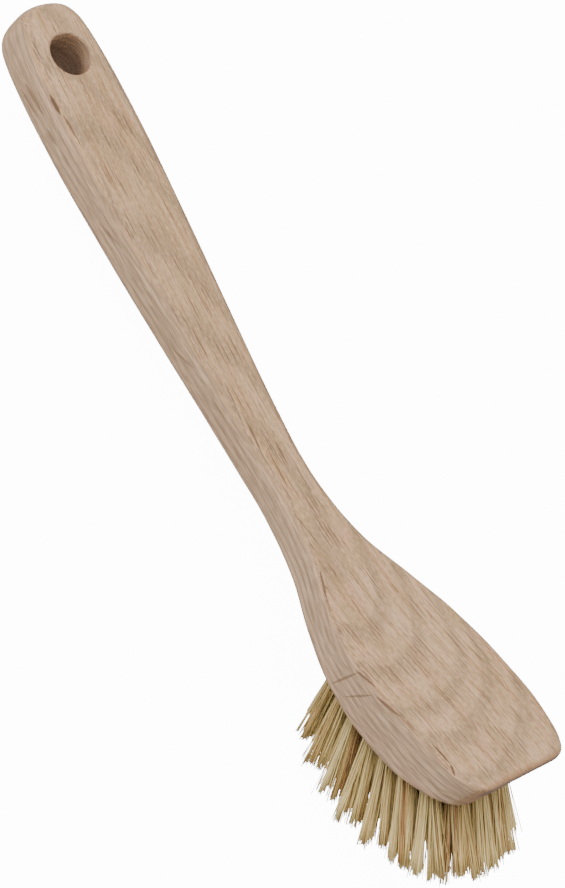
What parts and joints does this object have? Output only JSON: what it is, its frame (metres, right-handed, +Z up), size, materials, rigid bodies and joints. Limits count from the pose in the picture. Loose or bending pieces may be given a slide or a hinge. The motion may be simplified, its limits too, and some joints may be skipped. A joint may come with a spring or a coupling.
{
  "type": "dish brush",
  "caption": "Wooden dish brush: a curled paddle head with fanned tufts of stiff plant bristle, drawn into a slim waist and a flat handle with a hanging hole.",
  "frame": {"origin": "on the table, under the middle of the brush as it rests on its rear bristle tips and the underside of its hanging end", "axes": "+X from the bristled head to the hanging end, +Y across the handle, +Z up, with the bristles pointing down"},
  "size_m": [0.263, 0.042, 0.0636],
  "materials": {
    "oak": "pale unvarnished wood, fine-sanded, with open pores",
    "plant_fibre": "stiff straw-coloured plant fibre, cut square",
    "anchor_steel": "plain rolled strip"
  },
  "bodies": {
    "root": {"wooden_handle": "oak", "tuft_outer_01": "plant_fibre", "tuft_outer_02": "plant_fibre", "tuft_outer_03": "plant_fibre", "tuft_outer_04": "plant_fibre", "tuft_outer_05": "plant_fibre", "tuft_outer_06": "plant_fibre", "tuft_outer_07": "plant_fibre", "tuft_outer_08": "plant_fibre", "tuft_outer_09": "plant_fibre", "tuft_outer_10": "plant_fibre", "tuft_outer_11": "plant_fibre", "tuft_outer_12": "plant_fibre", "tuft_outer_13": "plant_fibre", "tuft_outer_14": "plant_fibre", "tuft_outer_15": "plant_fibre", "tuft_outer_16": "plant_fibre", "tuft_outer_17": "plant_fibre", "tuft_outer_18": "plant_fibre", "tuft_outer_19": "plant_fibre", "tuft_inner_01": "plant_fibre", "tuft_inner_02": "plant_fibre", "tuft_inner_03": "plant_fibre", "tuft_inner_04": "plant_fibre", "tuft_inner_05": "plant_fibre", "tuft_inner_06": "plant_fibre", "tuft_inner_07": "plant_fibre", "tuft_inner_08": "plant_fibre", "tuft_inner_09": "plant_fibre", "tuft_centre": "plant_fibre", "anchor_outer_01": "anchor_steel", "anchor_outer_02": "anchor_steel", "anchor_outer_03": "anchor_steel", "anchor_outer_04": "anchor_steel", "anchor_outer_05": "anchor_steel", "anchor_outer_06": "anchor_steel", "anchor_outer_07": "anchor_steel", "anchor_outer_08": "anchor_steel", "anchor_outer_09": "anchor_steel", "anchor_outer_10": "anchor_steel", "anchor_outer_11": "anchor_steel", "anchor_outer_12": "anchor_steel", "anchor_outer_13": "anchor_steel", "anchor_outer_14": "anchor_steel", "anchor_outer_15": "anchor_steel", "anchor_outer_16": "anchor_steel", "anchor_outer_17": "anchor_steel", "anchor_outer_18": "anchor_steel", "anchor_outer_19": "anchor_steel", "anchor_inner_01": "anchor_steel", "anchor_inner_02": "anchor_steel", "anchor_inner_03": "anchor_steel", "anchor_inner_04": "anchor_steel", "anchor_inner_05": "anchor_steel", "anchor_inner_06": "anchor_steel", "anchor_inner_07": "anchor_steel", "anchor_inner_08": "anchor_steel", "anchor_inner_09": "anchor_steel", "anchor_centre": "anchor_steel"}
  },
  "joints": []
}
